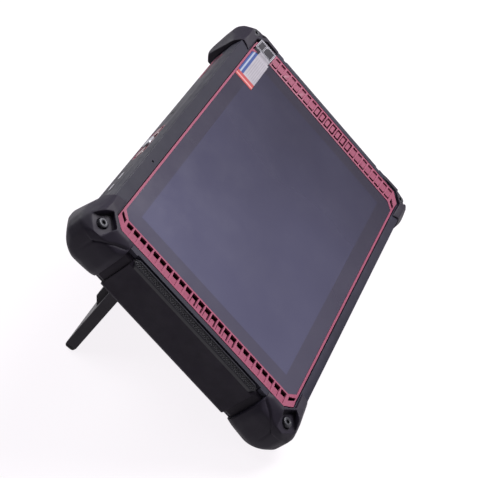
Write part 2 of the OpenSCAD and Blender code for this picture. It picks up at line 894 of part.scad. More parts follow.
module film_tab() {
    color([0.8, 0.8, 0.85]) lean() translate([118.3, 0, 0.4]) rotate([0, -14, 0])
        slab(0, 0.2) translate([6.5, 70.9]) square([13, 16.6], center = true);
}

front_frame();
rear_shell();
shell_seal();
trim_frame();
grille_mesh_left();
grille_mesh_right();
cover_glass();
display_panel();
mid_plate();
main_board();
board_spacers();
processor_shield();
battery_pack();
battery_strap();
speaker_left();
speaker_right();
microphone_boot();
bumper_upper_left();
bumper_upper_right();
bumper_lower_left();
bumper_lower_right();
bumper_screws();
grip_left();
grip_right();
knurl_strip_left();
knurl_strip_right();
key_surround();
power_key();
lower_key();
raise_key();
key_board();
port_cover();
cover_marks();
port_block();
plug_surround();
plug_cover();
charge_port();
headset_socket();
camera_surround();
camera_window();
camera_module();
flash_window();
shell_screws();
mount_inserts();
stand_leg();
stand_foot();
hinge_brackets();
bracket_screws();
hinge_pins();
film_label();
film_tab();
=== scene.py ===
"""Looks of the rugged tablet on its kickstand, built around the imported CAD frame."""

import json
import math

import bpy
import numpy as np
from mathutils import Matrix, Vector


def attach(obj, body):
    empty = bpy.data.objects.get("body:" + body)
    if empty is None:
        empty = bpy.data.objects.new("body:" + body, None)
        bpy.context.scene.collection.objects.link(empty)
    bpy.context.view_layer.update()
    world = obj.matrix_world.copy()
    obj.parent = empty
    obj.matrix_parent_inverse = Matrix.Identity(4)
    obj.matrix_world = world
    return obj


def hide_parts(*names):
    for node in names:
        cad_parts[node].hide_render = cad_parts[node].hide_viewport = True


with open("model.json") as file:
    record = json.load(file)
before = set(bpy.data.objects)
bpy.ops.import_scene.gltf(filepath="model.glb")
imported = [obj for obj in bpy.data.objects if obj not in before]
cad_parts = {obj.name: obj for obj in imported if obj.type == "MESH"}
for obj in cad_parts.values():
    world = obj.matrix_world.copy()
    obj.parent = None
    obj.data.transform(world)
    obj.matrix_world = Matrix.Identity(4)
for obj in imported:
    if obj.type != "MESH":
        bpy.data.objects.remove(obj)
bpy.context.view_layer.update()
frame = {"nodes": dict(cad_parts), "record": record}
NODES = frame["nodes"]

# ---- the tablet's own axes: X along the screen, Y up the screen, Z out of the glass, in mm ----
MM = 0.001
LEAN_BACK = math.radians(43)
TILT = math.pi / 2 - LEAN_BACK
# where the centre of the picture area is: in front of the frame's origin, and above the floor
CENTRE_SHIFT = -31.38
CENTRE_HEIGHT = 92.175
TABLET = (Matrix.Scale(MM, 4) @ Matrix.Translation((0, CENTRE_SHIFT, CENTRE_HEIGHT))
          @ Matrix.Rotation(TILT, 4, "X"))
TO_WORLD = np.array(TABLET)
TO_TABLET = np.array(TABLET.inverted())
WELD_GAP = 2e-6


def apply4(matrix, points):
    """Points turned by a 4 x 4 matrix."""
    points = np.asarray(points, float)
    return points @ matrix[:3, :3].T + matrix[:3, 3]


def smooth_step(lo, hi, value):
    t = np.clip((value - lo) / (hi - lo), 0, 1)
    return t * t * (3 - 2 * t)


# ---- materials ----

class Shader:
    """A node material with a Principled shader and a few helpers for its patterns."""

    def __init__(self, name, base, rough, metallic=0.0, **sockets):
        self.mat = bpy.data.materials.new(name)
        self.mat.use_nodes = True
        self.nodes = self.mat.node_tree.nodes
        self.links = self.mat.node_tree.links
        self.bsdf = self.nodes["Principled BSDF"]
        self.bsdf.inputs["Base Color"].default_value = (*base, 1)
        self.bsdf.inputs["Roughness"].default_value = rough
        self.bsdf.inputs["Metallic"].default_value = metallic
        for key, value in sockets.items():
            self.bsdf.inputs[key.replace("_", " ")].default_value = value
        self.world = self.add("ShaderNodeTexCoord").outputs["Object"]
        self.height = None

    def add(self, kind, **settings):
        node = self.nodes.new(kind)
        for key, value in settings.items():
            setattr(node, key, value)
        return node

    def link(self, a, b):
        self.links.new(a, b)

    def tablet(self):
        """The place in the tablet's own axes, in metres, and then its X, Y and Z."""
        shift = Matrix.Translation((0, CENTRE_SHIFT * MM, CENTRE_HEIGHT * MM))
        inverse = (shift @ Matrix.Rotation(TILT, 4, "X")).inverted()
        turn = self.add("ShaderNodeMapping")
        turn.inputs["Location"].default_value = inverse.to_translation()
        turn.inputs["Rotation"].default_value = inverse.to_euler()
        self.link(self.world, turn.inputs["Vector"])
        split = self.add("ShaderNodeSeparateXYZ")
        self.link(turn.outputs["Vector"], split.inputs["Vector"])
        return turn.outputs["Vector"], split.outputs["X"], split.outputs["Y"], split.outputs["Z"]

    def noise(self, scale, detail=3.0, rough=0.55, stretch=None, where=None):
        source = where or self.world
        if stretch:
            turn = self.add("ShaderNodeMapping")
            turn.inputs["Scale"].default_value = stretch
            self.link(source, turn.inputs["Vector"])
            source = turn.outputs["Vector"]
        node = self.add("ShaderNodeTexNoise")
        node.inputs["Scale"].default_value = scale
        node.inputs["Detail"].default_value = detail
        node.inputs["Roughness"].default_value = rough
        self.link(source, node.inputs["Vector"])
        return node.outputs["Fac"]

    def ramp(self, value, lo, hi, out_lo=0.0, out_hi=1.0):
        node = self.add("ShaderNodeMapRange")
        node.inputs["From Min"].default_value = lo
        node.inputs["From Max"].default_value = hi
        node.inputs["To Min"].default_value = out_lo
        node.inputs["To Max"].default_value = out_hi
        self.link(value, node.inputs["Value"])
        return node.outputs["Result"]

    def math(self, kind, a, b):
        node = self.add("ShaderNodeMath", operation=kind)
        for i, value in enumerate((a, b)):
            if isinstance(value, (int, float)):
                node.inputs[i].default_value = value
            else:
                self.link(value, node.inputs[i])
        return node.outputs["Value"]

    def mix(self, factor, a, b):
        """A colour between a and b, each a colour or a socket."""
        node = self.add("ShaderNodeMix", data_type="RGBA")
        # sockets 0, 6 and 7 are the factor and the two colours, and output 2 is the mixed colour
        for socket, value in ((node.inputs[0], factor), (node.inputs[6], a), (node.inputs[7], b)):
            if isinstance(value, (int, float)):
                socket.default_value = value
            elif isinstance(value, tuple):
                socket.default_value = (*value, 1)
            else:
                self.link(value, socket)
        return node.outputs[2]

    def colour(self, socket):
        self.link(socket, self.bsdf.inputs["Base Color"])

    def roughness(self, socket):
        self.link(socket, self.bsdf.inputs["Roughness"])

    def bump(self, value, distance, strength=1.0):
        """One more layer of surface height, in metres."""
        node = self.add("ShaderNodeBump")
        node.inputs["Distance"].default_value = distance
        node.inputs["Strength"].default_value = strength
        self.link(value, node.inputs["Height"])
        if self.height is not None:
            self.link(self.height, node.inputs["Normal"])
        self.height = node.outputs["Normal"]
        self.link(self.height, self.bsdf.inputs["Normal"])


def scaled(colour, factor):
    return tuple(min(1.0, c * factor) for c in colour)


def moulded(name, base, rough, grain=1700.0, grain_depth=2.5e-5, wear=1.45, shine=0.5, **sockets):
    """Moulded plastic or rubber: fine grain, faint mottling, and sharp edges made slightly paler in patches.
    """
    s = Shader(name, base, rough, **sockets)
    s.bsdf.inputs["Specular IOR Level"].default_value = shine
    fine = s.noise(grain, 2.0)
    broad = s.noise(38.0, 4.0)
    mottled = s.mix(s.ramp(broad, 0.35, 0.7), scaled(base, 0.93), scaled(base, 1.08))
    edge = s.add("ShaderNodeNewGeometry").outputs["Pointiness"]
    # edges with high pointiness turn paler in noisy patches
    pale_edges = s.math("MULTIPLY", s.ramp(edge, 0.53, 0.6), s.ramp(s.noise(160.0, 3.0), 0.3, 0.65))
    s.colour(s.mix(pale_edges, mottled, scaled(base, wear)))
    s.roughness(s.ramp(s.noise(90.0, 5.0), 0.3, 0.7, rough - 0.06, rough + 0.08))
    s.bump(fine, grain_depth)
    s.bump(s.noise(320.0, 2.0), grain_depth * 1.2, 0.5)
    return s


def brushed(name, base, rough):
    """Metal with fine lines along X."""
    s = Shader(name, base, rough, metallic=1.0)
    lines = s.noise(900.0, 2.0, stretch=(0.05, 1.0, 1.0))
    s.colour(s.mix(s.ramp(lines, 0.3, 0.7), scaled(base, 0.8), scaled(base, 1.2)))
    s.roughness(s.ramp(s.noise(220.0, 4.0), 0.3, 0.7, rough - 0.08, rough + 0.12))
    s.bump(lines, 6e-6)
    return s


# the grilles' sloping face, in metres: its height near its inner edge, how far out that is, and its slope
GRILLE_TOP = 0.0006
GRILLE_INNER_X = 0.1224
GRILLE_SLOPE = 0.13


def rose_trim():
    """Rose plastic with light and shade painted by depth: ribs painted brighter, pads below them painted
    darker, and painted deep maroon shade on the slot walls.
    """
    s = moulded("rose_trim", (0.16, 0.04, 0.07), 0.42, 1900.0, 1.2e-5, 1.2, 0.16)
    _, x, _, z = s.tablet()
    run = s.math("MAXIMUM", s.math("SUBTRACT", s.math("ABSOLUTE", x, 0.0), GRILLE_INNER_X), 0.0)
    face_z = s.math("SUBTRACT", GRILLE_TOP, s.math("MULTIPLY", run, GRILLE_SLOPE))
    depth = s.math("SUBTRACT", face_z, z)
    plain = s.bsdf.inputs["Base Color"].links[0].from_socket
    # painted light and shade: the ribs at the face are painted lighter, the pads below them darker
    rib_painted_lighter = s.mix(0.6, plain, (0.22, 0.055, 0.095))
    pad_painted_darker = s.mix(0.6, plain, (0.085, 0.022, 0.04))
    upper = s.mix(s.ramp(depth, 0.0003, 0.0011), rib_painted_lighter, pad_painted_darker)
    # painted shade: below about 1.25 mm under the face the slot walls turn deep maroon
    s.colour(s.mix(s.ramp(depth, 0.00125, 0.0017), upper, (0.022, 0.0015, 0.004)))
    return s


def woven_mesh():
    """Dark acoustic cloth behind the grille slots."""
    s = Shader("mesh_cloth", (0.01, 0.002, 0.004), 0.85, Specular_IOR_Level=0.15)
    weave = s.add("ShaderNodeTexVoronoi")
    weave.inputs["Scale"].default_value = 1800.0
    s.link(s.world, weave.inputs["Vector"])
    threads = weave.outputs["Distance"]
    s.colour(s.mix(s.ramp(threads, 0.1, 0.6), (0.004, 0.0006, 0.001), (0.016, 0.003, 0.005)))
    s.bump(threads, 1.2e-4)
    return s


# the picture area's half sizes, in metres
PICTURE_HALF_X = 0.1085
PICTURE_HALF_Y = 0.0678


def screen_glass():
    """Cover glass: a grey border, and the unlit picture area a little bluer behind it, both with painted
    light that makes them paler towards -X.
    """
    s = Shader("cover_glass", (0.1, 0.1, 0.14), 0.16, Coat_Weight=0.6, Coat_Roughness=0.06, IOR=1.5)
    place, x, y, _ = s.tablet()
    soft = 0.0006
    inside_x = s.ramp(s.math("ABSOLUTE", x, 0.0), PICTURE_HALF_X + soft, PICTURE_HALF_X)
    inside_y = s.ramp(s.math("ABSOLUTE", y, 0.0), PICTURE_HALF_Y + soft, PICTURE_HALF_Y)
    cloud = s.ramp(s.noise(7.0, 2.0, where=place), 0.3, 0.7, -0.12, 0.12)
    # painted light: a gradient makes border and picture paler towards -X, on top of the random cloud
    cloud_and_painted_light = s.math("ADD", cloud, s.ramp(x, 0.12, -0.13))
    picture = s.mix(cloud_and_painted_light, (0.027, 0.025, 0.042), (0.06, 0.058, 0.1))
    border = s.mix(cloud_and_painted_light, (0.025, 0.022, 0.034), (0.05, 0.046, 0.07))
    s.colour(s.mix(s.math("MULTIPLY", inside_x, inside_y), border, picture))
    s.roughness(s.ramp(s.noise(30.0, 6.0, 0.7), 0.35, 0.75, 0.15, 0.24))
    return s


def clear_film():
    """Clear film, in the dark colour that shows through it."""
    s = Shader("clear_film", (0.02, 0.018, 0.025), 0.5, Specular_IOR_Level=0.1)
    s.colour(s.mix(s.ramp(s.noise(60.0, 4.0), 0.3, 0.7), (0.014, 0.012, 0.018), (0.022, 0.02, 0.027)))
    s.bump(s.noise(140.0, 3.0), 2e-5)
    return s


# the label's rules and bands, in metres
RULES_Y = (0.0628, 0.0645, 0.0662, 0.0679, 0.0696, 0.0713)
RULE_THICK = 0.0005
RULES_X = (0.0885, 0.1155)
BLUE_FROM_Y = 0.0735
RED_TO_X = 0.0858


def label_print():
    """Paper label: a red band on its left with a painted highlight streak in it, a blue band along its top
    and plain grey rules.
    """
    s = Shader("label_print", (0.3, 0.3, 0.32), 0.5, Specular_IOR_Level=0.25)
    _, x, y, _ = s.tablet()
    soft = 0.0002

    def above(value, limit):
        return s.ramp(value, limit - soft, limit + soft)

    def band(value, lo, hi):
        return s.math("MULTIPLY", above(value, lo), s.math("SUBTRACT", 1.0, above(value, hi)))

    rules = None
    for lo in RULES_Y:
        rule = band(y, lo, lo + RULE_THICK)
        rules = rule if rules is None else s.math("ADD", rules, rule)
    rules = s.math("MULTIPLY", rules, band(x, *RULES_X))
    paper = s.mix(s.ramp(s.noise(70.0, 3.0), 0.3, 0.7), (0.2, 0.185, 0.215), (0.24, 0.225, 0.25))
    paper = s.mix(s.math("MULTIPLY", rules, 0.45), paper, (0.09, 0.085, 0.1))
    blue_ink = s.mix(band(y, 0.0757, 0.0770), (0.012, 0.033, 0.14), (0.2, 0.23, 0.3))
    # painted highlight: a paler streak runs down the red band
    red_ink_and_painted_highlight = s.mix(band(x, 0.0808, 0.0824), (0.25, 0.028, 0.03), (0.4, 0.17, 0.17))
    red = s.math("SUBTRACT", 1.0, above(x, RED_TO_X))
    s.colour(s.mix(red, s.mix(above(y, BLUE_FROM_Y), paper, blue_ink), red_ink_and_painted_highlight))
    s.bump(s.noise(220.0, 2.0), 1.5e-5)
    return s


# each moulded finish: its colour, its roughness, and what differs from plain plastic
MOULDED = {
    "case_plastic": ((0.0145, 0.0135, 0.0225), 0.52, dict(shine=0.12)),
    "bumper_rubber": ((0.0125, 0.0098, 0.0175), 0.58,
                      dict(grain=1300.0, grain_depth=3.5e-5, wear=1.6, shine=0.16)),
    "grip_rubber": ((0.0096, 0.007, 0.0132), 0.62,
                    dict(grain=1100.0, grain_depth=4.5e-5, wear=1.6, shine=0.15)),
    "strip_plastic": ((0.015, 0.0142, 0.019), 0.45, dict(grain_depth=1.5e-5, shine=0.3)),
    "stand_plastic": ((0.0085, 0.0065, 0.011), 0.42,
                      dict(grain=1500.0, grain_depth=3e-5, wear=1.8, shine=0.16)),
    "foot_rubber": ((0.012, 0.011, 0.013), 0.7, dict(grain=1200.0, grain_depth=4e-5, shine=0.3)),
    "seal_rubber": ((0.02, 0.02, 0.022), 0.65, {}),
    "inner_plastic": ((0.018, 0.018, 0.019), 0.5, {}),
    "rose_ring": ((0.16, 0.03, 0.055), 0.42, dict(grain=1900.0, grain_depth=1.2e-5, wear=1.2, shine=0.16)),
    "key_maroon": ((0.07, 0.008, 0.014), 0.34, dict(grain=1900.0, grain_depth=8e-6, wear=1.3)),
    "key_silver": ((0.2, 0.2, 0.22), 0.4, dict(grain=1900.0, grain_depth=6e-6, wear=1.1, metallic=0.5)),
    "mark_white": ((0.3, 0.29, 0.33), 0.4, dict(grain=1900.0, grain_depth=6e-6, wear=1.0)),
    "display": ((0.1, 0.1, 0.15), 0.3, {}),
    "flash_lens": ((0.85, 0.82, 0.66), 0.2, dict(grain=900.0, grain_depth=1e-5, wear=1.0, Coat_Weight=0.8)),
    "screw_steel": ((0.024, 0.024, 0.03), 0.42,
                    dict(grain=1500.0, grain_depth=1e-5, wear=1.4, shine=0.4, metallic=0.35)),
    "board": ((0.01, 0.09, 0.045), 0.35, {}),
    "battery_wrap": ((0.03, 0.035, 0.05), 0.3, {}),
}
BRUSHED = {
    "plate_metal": ((0.6, 0.61, 0.63), 0.34),
    "bracket_steel": ((0.3, 0.3, 0.32), 0.36),
    "brass": ((0.7, 0.48, 0.2), 0.3),
}


def make_materials():
    made = {name: moulded(name, base, rough, **more) for name, (base, rough, more) in MOULDED.items()}
    for name, (base, rough) in BRUSHED.items():
        made[name] = brushed(name, base, rough)
    made["rose_trim"] = rose_trim()
    made["mesh_cloth"] = woven_mesh()
    made["cover_glass"] = screen_glass()
    made["clear_film"] = clear_film()
    made["label"] = label_print()
    made["lens_glass"] = Shader("lens_glass", (0.012, 0.012, 0.02), 0.05,
                                Coat_Weight=1.0, Coat_Roughness=0.02)
    return {name: shader.mat for name, shader in made.items()}


MATERIALS = make_materials()


# ---- pieces ----

def piece(name, points, faces, body, material, slot=None, replaces=(), smooth=True):
    """A new mesh piece from points in the tablet's own axes, in mm; its slot is the material's name.
    The slot argument is not used."""
    mesh = bpy.data.meshes.new(name)
    mesh.from_pydata([tuple(p) for p in apply4(TO_WORLD, points)], [], [tuple(f) for f in faces])
    mesh.validate()
    mesh.update()
    if smooth:
        mesh.polygons.foreach_set("use_smooth", [True] * len(mesh.polygons))
    obj = bpy.data.objects.new(name, mesh)
    bpy.context.scene.collection.objects.link(obj)
    mesh.materials.append(MATERIALS[material])
    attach(obj, body)
    if replaces:
        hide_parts(*replaces)


def add_weld(obj):
    weld = obj.modifiers.new("weld", "WELD")
    weld.merge_threshold = WELD_GAP


def add_bevel(obj, width_mm, clamp):
    add_weld(obj)
    bevel = obj.modifiers.new("bevel", "BEVEL")
    bevel.width = width_mm * MM
    bevel.segments = 2
    bevel.limit_method = "ANGLE"
    bevel.angle_limit = math.radians(30)
    bevel.harden_normals = True
    bevel.use_clamp_overlap = clamp


def node_mesh(node, voxel_mm):
    """A CAD node's shape, welded and remeshed, as points in tablet mm and faces."""
    copy = bpy.data.objects.new("work", NODES[node].data.copy())
    bpy.context.scene.collection.objects.link(copy)
    add_weld(copy)
    remesh = copy.modifiers.new("remesh", "REMESH")
    remesh.mode = "VOXEL"
    remesh.voxel_size = voxel_mm * MM
    evaluated = copy.evaluated_get(bpy.context.evaluated_depsgraph_get())
    mesh = bpy.data.meshes.new_from_object(evaluated)
    points = np.zeros(len(mesh.vertices) * 3)
    mesh.vertices.foreach_get("co", points)
    faces = [tuple(p.vertices) for p in mesh.polygons]
    bpy.data.objects.remove(copy)
    bpy.data.meshes.remove(mesh)
    return apply4(TO_TABLET, points.reshape(-1, 3)), faces


def edges_of(faces):
    pairs = set()
    for f in faces:
        for a, b in zip(f, f[1:] + f[:1]):
            pairs.add((a, b) if a < b else (b, a))
    return np.array(sorted(pairs))


def relax(points, faces, weight, rounds):
    """Laplacian smoothing of points, each moved by its own weight."""
    edges = edges_of(faces)
    a = np.concatenate([edges[:, 0], edges[:, 1]])
    b = np.concatenate([edges[:, 1], edges[:, 0]])
    count = np.bincount(a, minlength=len(points)).astype(float)
    count[count == 0] = 1
    points = points.copy()
    for _ in range(rounds):
        mean = np.stack([np.bincount(a, points[b, k], len(points)) for k in range(3)], 1) / count[:, None]
        points += (mean - points) * weight[:, None] * 0.6
    return points


def normals_of(points, faces):
    normals = np.zeros_like(points)
    quads = np.array([f if len(f) == 4 else (*f, f[0]) for f in faces])
    first, second, third, fourth = (points[quads[:, k]] for k in range(4))
    cross = np.cross(third - first, fourth - second)
    for k in range(4):
        np.add.at(normals, quads[:, k], cross)
    return normals / (np.linalg.norm(normals, axis=1, keepdims=True) + 1e-12)


def line_distance(u, v, path):
    """Distance of points (u, v) from an open path of points."""
    best = np.full(len(u), 1e9)
    for (au, av), (bu, bv) in zip(path, path[1:]):
        du, dv = bu - au, bv - av
        t = np.clip(((u - au) * du + (v - av) * dv) / (du * du + dv * dv), 0, 1)
        best = np.minimum(best, np.hypot(u - au - t * du, v - av - t * dv))
    return best


def joined(parts):
    """Several (points, faces) as one."""
    points, faces = [], []
    for part_points, part_faces in parts:
        start = len(points)
        points += [list(q) for q in part_points]
        faces += [tuple(i + start for i in face) for face in part_faces]
    return points, faces


# ---- corner bumpers: soft moulded rubber over the CAD shape ----
# the raised side pad's curved upper edge and its crease, as (Y, Z) in mm
PAD_ARC = [(61.5, 1.9), (66, 0.6), (71, -0.9), (75, -3.0), (78.4, -5.6), (81, -8.75)]
PAD_CREASE = [(81, -8.75), (81.6, -14), (81.8, -24)]
# the tilted pocket that the bumper screw sits in, as the CAD cuts it; a point up to POCKET_MARGIN
# under its floor counts as in it
POCKET_PLAN = [(127.8, 83.8), (136.6, 75.6), (152.0, 83.2), (141.0, 97.0)]
POCKET_SPOT = np.array((139.0, 88.0, -2.6))
POCKET_MARGIN = 0.4
POCKET_TURN = np.array(Matrix.Rotation(math.radians(9), 3, "Y") @ Matrix.Rotation(math.radians(-9), 3, "X"))


def pocket_distance(local):
    """How far points are from the pocket's cut, in mm."""
    turned = (local - POCKET_SPOT) @ POCKET_TURN
    u, v, w = turned[:, 0] + POCKET_SPOT[0], turned[:, 1] + POCKET_SPOT[1], turned[:, 2]
    inside = np.ones(len(u), bool)
    for (au, av), (bu, bv) in zip(POCKET_PLAN, POCKET_PLAN[1:] + POCKET_PLAN[:1]):
        inside &= (bu - au) * (v - av) - (bv - av) * (u - au) > 0
    edge = line_distance(u, v, POCKET_PLAN + POCKET_PLAN[:1])
    return np.hypot(np.where(inside, 0, edge), np.clip(-POCKET_MARGIN - w, 0, None))


def bumper_softness(local):
    """How much each point of a bumper is smoothed: the outer sides fully, and the front's rim by half.
    Crisp edges stay at the pocket, and where the bumper meets the grip and the case."""
    x, y, z = local.T
    pocket = pocket_distance(local)
    clear = np.maximum(smooth_step(0.5, 3.0, pocket), 0.7 * smooth_step(90.0, 93.0, y))
    outer = smooth_step(137.5, 139.5, x) + smooth_step(91.5, 93.0, y)
    outer = np.clip(outer, 0, 1) * smooth_step(1.5, -1.5, z) * clear
    outer *= smooth_step(62.2, 64.5, y) * np.where(y > 88, smooth_step(114.2, 117.5, x), 1)
    front = 0.5 * smooth_step(0.2, 1.4, z) * smooth_step(0.6, 2.6, pocket)
    front *= smooth_step(136.5, 138.0, x + 0.55 * np.clip(y - 78, 0, 20))
    return np.maximum(outer, front)


def pad_inset(local, normal):
    """How far each point moves in for the groove along the pad's edge, the step behind it and the crease."""
    x, y, z = local.T
    side = smooth_step(0.35, 0.7, normal[:, 0]) * smooth_step(137.0, 139.0, x)
    arc = line_distance(y, z, PAD_ARC)
    groove = 0.7 * np.exp(-(arc / 0.55) ** 2)
    crease = 0.4 * np.exp(-(line_distance(y, z, PAD_CREASE) / 1.0) ** 2) * smooth_step(-26, -12, z)
    arc_z = np.interp(y, [p[0] for p in PAD_ARC], [p[1] for p in PAD_ARC])
    behind_arc = smooth_step(0.3, -0.5, z - arc_z)
    return side * (groove + crease + 0.65 * behind_arc * np.exp(-arc / 5.0))


def bumper(node, sx, sy):
    """One bumper; sx and sy say which corner, and the work is done as for the upper right one."""
    points, faces = node_mesh(node, 0.5)
    mirror = np.array([sx, sy, 1.0])
    local = points * mirror
    softness = bumper_softness(local)
    voxel_steps = 0.35 * smooth_step(109, 118, local[:, 0]) * smooth_step(0.2, 1.0, pocket_distance(local))
    local = relax(local, faces, voxel_steps, 3)
    local = relax(local, faces, softness, 26)
    normal = normals_of(local, faces) * (1 if sx * sy > 0 else -1)
    local = local - normal * pad_inset(local, normal)[:, None]
    piece(node + "_rubber", local * mirror, faces, "tablet", "bumper_rubber", replaces=[node])


for node, sx, sy in (("bumper_upper_right", 1, 1), ("bumper_upper_left", -1, 1),
                     ("bumper_lower_right", 1, -1), ("bumper_lower_left", -1, -1)):
    bumper(node, sx, sy)


# ---- kickstand foot: rounded rubber with grip grooves across it ----
HINGE = np.array((0.0, 42.0, -29.5))
FOOT_PITCH = 2.8


def grooved_foot():
    points, faces = node_mesh("stand_foot", 0.9)
    mean = (points - HINGE)[:, 1:].mean(0)
    direction = mean / np.linalg.norm(mean)
    points = relax(points, faces, np.full(len(points), 0.8), 6)
    along = (points - HINGE)[:, 1:] @ direction
    end = along.max()
    normal = normals_of(points, faces)
    across = 1 - np.abs(normal[:, 1:] @ direction)
    wave = 0.5 + 0.5 * np.cos((along - end) * 2 * math.pi / FOOT_PITCH)
    depth = 0.45 * smooth_step(0.55, 0.95, wave) * across * smooth_step(end - 1.2, end - 1.8, along)
    outward = 1 if np.sum(normal * (points - points.mean(0))) > 0 else -1
    points = points - outward * normal * depth[:, None]
    piece("stand_foot_rubber", points, faces, "kickstand", "foot_rubber", replaces=["stand_foot"])


grooved_foot()


# ---- bumper screws ----
SCREW_SPOTS = [(sx * 138.0, sy * 84.3) for sx in (-1, 1) for sy in (-1, 1)]
SCREW_TOP = -0.2
SCREW_RADIUS = 3.4
SCREW_HEIGHT = 3.6
SOCKET = 1.35
TURN_STEPS = 48


def circle(radius, height):
    angles = [2 * math.pi * i / TURN_STEPS for i in range(TURN_STEPS)]
    return [(radius * math.cos(a), radius * math.sin(a), height) for a in angles]


def hexagon(radius, height):
    """As many points as a circle, but on a hexagon."""
    ring = []
    for i in range(TURN_STEPS):
        a = 2 * math.pi * i / TURN_STEPS
        from_flat = (a % (math.pi / 3)) - math.pi / 6
        r = radius * math.cos(math.pi / 6) / math.cos(from_flat)
        ring.append((r * math.cos(a), r * math.sin(a), height))
    return ring


def hex_screw(place, radius, height, socket):
    """Cap head with a chamfered rim and a six-sided socket."""
    profile = [(radius * 0.92, 0), (radius, 0.15), (radius, height - 0.5), (radius - 0.14, height - 0.16),
               (radius - 0.5, height), (1.28 * socket, height)]
    rings = [circle(r, h) for r, h in profile]
    rings += [hexagon(socket * 1.06, height - 0.12), hexagon(socket, height - 0.3),
              hexagon(socket, height - 2.2), hexagon(socket * 0.3, height - 2.5)]
    points, faces = [], []
    for ring in rings:
        points += [[p[0] + place[0], p[1] + place[1], p[2] + place[2]] for p in ring]
    for r in range(len(rings) - 1):
        a = r * TURN_STEPS
        b = a + TURN_STEPS
        for i in range(TURN_STEPS):
            j = (i + 1) % TURN_STEPS
            faces.append((a + i, a + j, b + j, b + i))
    last = (len(rings) - 1) * TURN_STEPS
    faces.append(tuple(last + i for i in range(TURN_STEPS)))
    faces.append(tuple(reversed(range(TURN_STEPS))))
    return points, faces


heads = [hex_screw((x, y, SCREW_TOP - SCREW_HEIGHT), SCREW_RADIUS, SCREW_HEIGHT, SOCKET)
         for x, y in SCREW_SPOTS]
piece("bumper_screw_heads", *joined(heads), "tablet", "screw_steel", replaces=["bumper_screws"])


# ---- knurled strips along the side grips ----
CASE_X = 139.0
GRIP_X = 142.8
GRIP_HALF = 56.0
KNURL_PITCH = 1.5
KNURL_DEPTH = 0.62
KNURL_STEPS = 20
STRIP_STEP = 0.25


def knurled_strip(name, sx, node):
    """Strip with a diamond knurl cut into its sloping face."""
    root = [(CASE_X + 0.02, -0.6), (CASE_X - 0.4, -0.5), (CASE_X - 1.1, 0.6), (CASE_X + 0.9, 1.38)]
    back = [(GRIP_X, -2.7), (GRIP_X, -3.75), (CASE_X + 1.2, -1.2), (CASE_X + 0.06, -1.05)]
    slope_from, slope_to = np.array((CASE_X + 0.9, 1.4)), np.array((GRIP_X, -1.6))
    fall = slope_to - slope_from
    slope = [tuple(slope_from + fall * i / KNURL_STEPS) for i in range(1, KNURL_STEPS + 1)]
    profile = np.array(root + slope + back)
    normal = np.array((-fall[1], fall[0]))
    normal /= np.linalg.norm(normal)
    along = (profile - slope_from) @ fall / np.linalg.norm(fall)
    on_slope = np.zeros(len(profile))
    on_slope[len(root) + 1:len(root) + KNURL_STEPS - 5] = 1
    end = GRIP_HALF - 1.1
    rows = np.arange(-end, end + 0.01, STRIP_STEP)
    centre = np.array((CASE_X + 0.6, -0.6))
    n = len(profile)
    points, faces = [], []
    for y in rows:
        wave = (np.abs(((y + along) / KNURL_PITCH) % 1 - 0.5)
                + np.abs(((y - along) / KNURL_PITCH) % 1 - 0.5))
        depth = KNURL_DEPTH * (1 - np.clip(wave * 1.15, 0, 1)) * on_slope
        ring = profile - normal[None, :] * depth[:, None]
        # the strip thins towards its ends
        ring = centre + (ring - centre) * (0.35 + 0.65 * smooth_step(end, end - 3.0, abs(y)))
        points += [[sx * p[0], y, p[1]] for p in ring]
    for r in range(len(rows) - 1):
        for i in range(n):
            j = (i + 1) % n
            face = (r * n + i, r * n + j, (r + 1) * n + j, (r + 1) * n + i)
            faces.append(face if sx < 0 else face[::-1])
    first = tuple(range(n))
    last = tuple((len(rows) - 1) * n + i for i in range(n))
    faces += [first, last[::-1]] if sx > 0 else [first[::-1], last]
    piece(name, points, faces, "tablet", "strip_plastic", replaces=[node], smooth=False)


knurled_strip("knurl_right", 1, "knurl_strip_right")
knurled_strip("knurl_left", -1, "knurl_strip_left")


# ---- film label and pull tab ----
LABEL_END = 118.1
TAB_FROM = 121.4
TAB_SLOPE = 0.243


def sheet_grid(x0, x1, y0, y1, height, thick, nx, ny):
    """A thin sheet over a rectangle, its top at height(x, y)."""
    points, faces = [], []
    for below in (thick, 0):
        for i in range(nx + 1):
            for j in range(ny + 1):
                x = x0 + (x1 - x0) * i / nx
                y = y0 + (y1 - y0) * j / ny
                points.append([x, y, height(x, y) - below])
    step = ny + 1
    top = (nx + 1) * step
    for i in range(nx):
        for j in range(ny):
            a = i * step + j
            faces.append((a, a + 1, a + step + 1, a + step))
            faces.append((top + a, top + a + step, top + a + step + 1, top + a + 1))
    for i in range(nx):
        a, b = i * step, i * step + ny
        faces.append((a, a + step, top + a + step, top + a))
        faces.append((b, top + b, top + b + step, b + step))
    for j in range(ny):
        a, b = j, nx * step + j
        faces.append((a, top + a, top + a + 1, a + 1))
        faces.append((b, b + 1, top + b + 1, top + b))
    return points, faces


def label_height(x, y):
    """The label is a little wavy on the glass."""
    return 0.15 - 0.02 * math.cos((x - 79) * 0.4) * math.sin((y - 61) * 0.3) - 0.02


def tab_height(x, y):
    """The pull tab rises from the end of the label, over the grille."""
    run = x - 118.3
    wave = 0.1 * math.sin(run / 15.7 * math.pi) * math.sin((y - 63.5) / 15 * math.pi)
    return 0.6 + run * TAB_SLOPE + wave


def root_height(x, y):
    """Between the label and the tab, the film bends up from the glass."""
    t = float(smooth_step(LABEL_END, TAB_FROM, x))
    return 0.16 + t * (tab_height(TAB_FROM, y) - 0.16)


